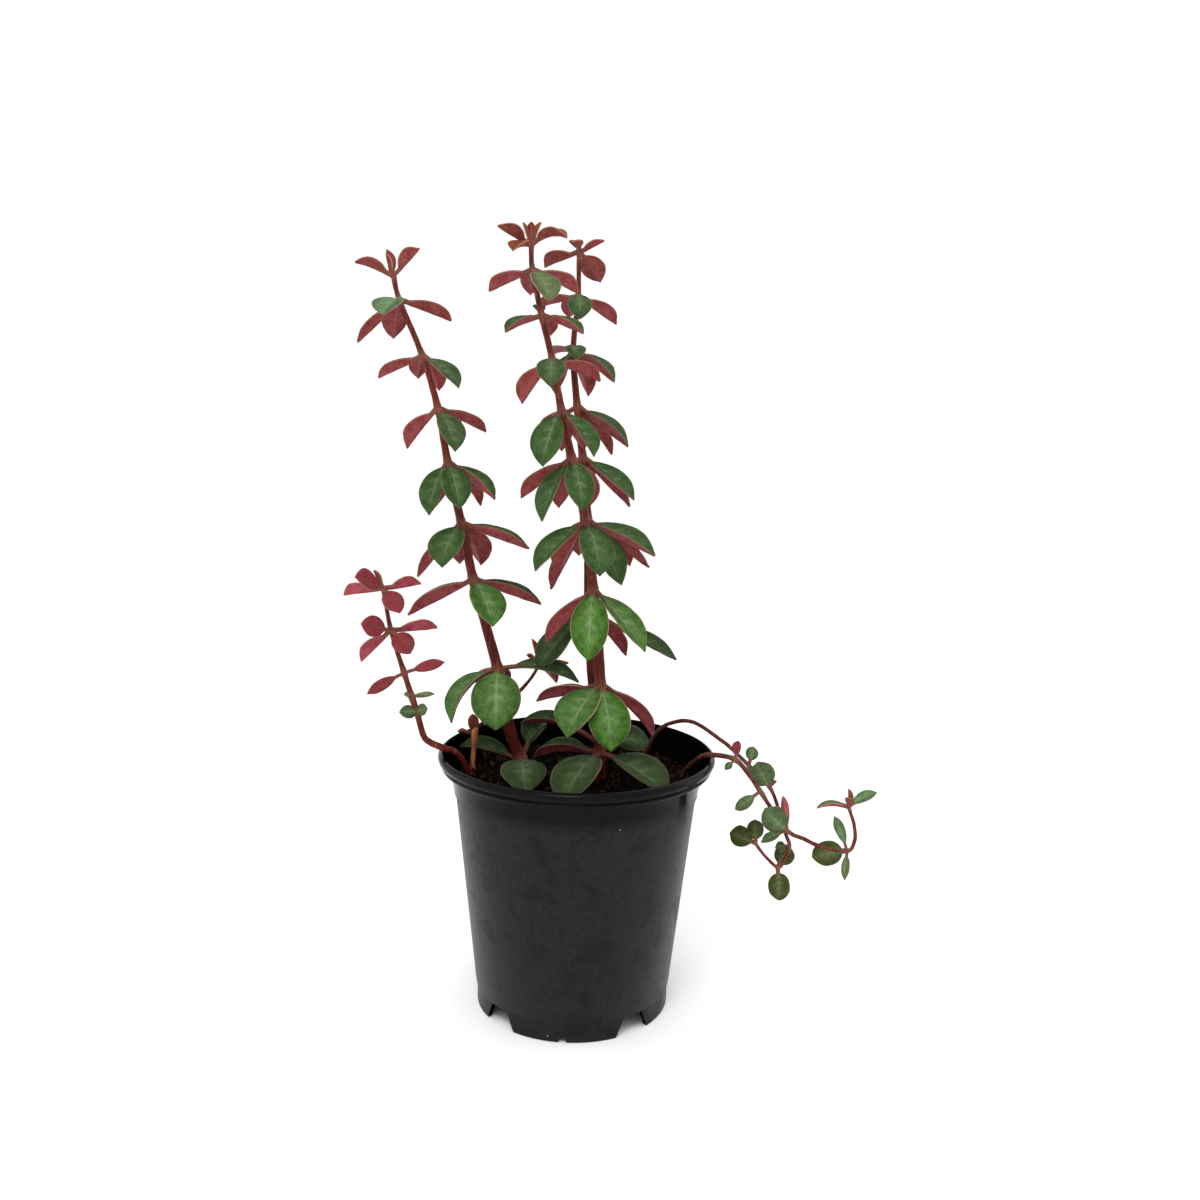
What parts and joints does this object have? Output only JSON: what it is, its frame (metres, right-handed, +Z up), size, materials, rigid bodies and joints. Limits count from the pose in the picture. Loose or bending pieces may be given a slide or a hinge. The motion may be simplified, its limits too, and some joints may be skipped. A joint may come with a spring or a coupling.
{
  "type": "potted succulent",
  "caption": "Potted succulent with upright red stems, whorls of pointed leaves and two trailing stems, in a round black nursery pot of soil.",
  "frame": {"origin": "bottom centre of the box round the whole plant, on the surface the pot stands on; the pot's axis is at x = -13 mm, y = 0", "axes": "+Z up along the pot's axis, -Y to the front seen in the picture, +X to the side of the trailing stems"},
  "size_m": [0.2063, 0.107, 0.2971],
  "materials": {
    "pot_plastic": "dull black moulded plastic with dried water marks and a glossier rim",
    "peat": "moist dark peat with bark bits",
    "stem_skin": "smooth red-brown living stem, satin",
    "trailing_skin": "smooth thin pinkish brown living stem, satin",
    "stub_skin": "dry orange-brown cut stem, matte",
    "leaf_green": "fleshy green leaf with pale midrib, satin, burgundy underneath",
    "leaf_grey": "fleshy grey-green leaf, satin",
    "leaf_red": "young burgundy leaf, satin"
  },
  "bodies": {
    "root": {"back_shoot": "trailing_skin", "cut_stub": "stub_skin", "leaf_dry_node": "leaf_red", "leaves_back_shoot": "leaf_red", "leaves_trailing_lower_1": "leaf_grey", "leaves_trailing_lower_2": "leaf_grey", "leaves_trailing_lower_3": "leaf_grey", "leaves_trailing_lower_4": "leaf_grey", "leaves_trailing_lower_5": "leaf_grey", "leaves_trailing_upper_1": "leaf_grey", "leaves_trailing_upper_2": "leaf_grey", "leaves_trailing_upper_3": "leaf_grey", "leaves_trailing_upper_4": "leaf_grey", "leaves_trailing_upper_5": "leaf_grey", "pot": "pot_plastic", "shoot_left": "stem_skin", "soil": "peat", "stem_left": "stem_skin", "stem_middle": "stem_skin", "stem_right": "stem_skin", "trailing_lower": "trailing_skin", "trailing_upper": "trailing_skin", "whorl_left_1": "leaf_red", "whorl_left_2": "leaf_green", "whorl_left_3": "leaf_green", "whorl_left_4": "leaf_green", "whorl_left_5": "leaf_green", "whorl_left_6": "leaf_green", "whorl_left_7": "leaf_green", "whorl_left_8": "leaf_green", "whorl_left_9": "leaf_green", "whorl_middle_1": "leaf_red", "whorl_middle_10": "leaf_green", "whorl_middle_2": "leaf_green", "whorl_middle_3": "leaf_green", "whorl_middle_4": "leaf_green", "whorl_middle_5": "leaf_green", "whorl_middle_6": "leaf_green", "whorl_middle_7": "leaf_green", "whorl_middle_8": "leaf_green", "whorl_middle_9": "leaf_green", "whorl_right_1": "leaf_red", "whorl_right_2": "leaf_green", "whorl_right_3": "leaf_green", "whorl_right_4": "leaf_green", "whorl_right_5": "leaf_green", "whorl_right_6": "leaf_green", "whorl_right_7": "leaf_green", "whorl_right_8": "leaf_green", "whorl_shoot_1": "leaf_red", "whorl_shoot_2": "leaf_red", "whorl_shoot_3": "leaf_red", "whorl_shoot_4": "leaf_green", "whorl_shoot_5": "leaf_green"}
  },
  "joints": []
}
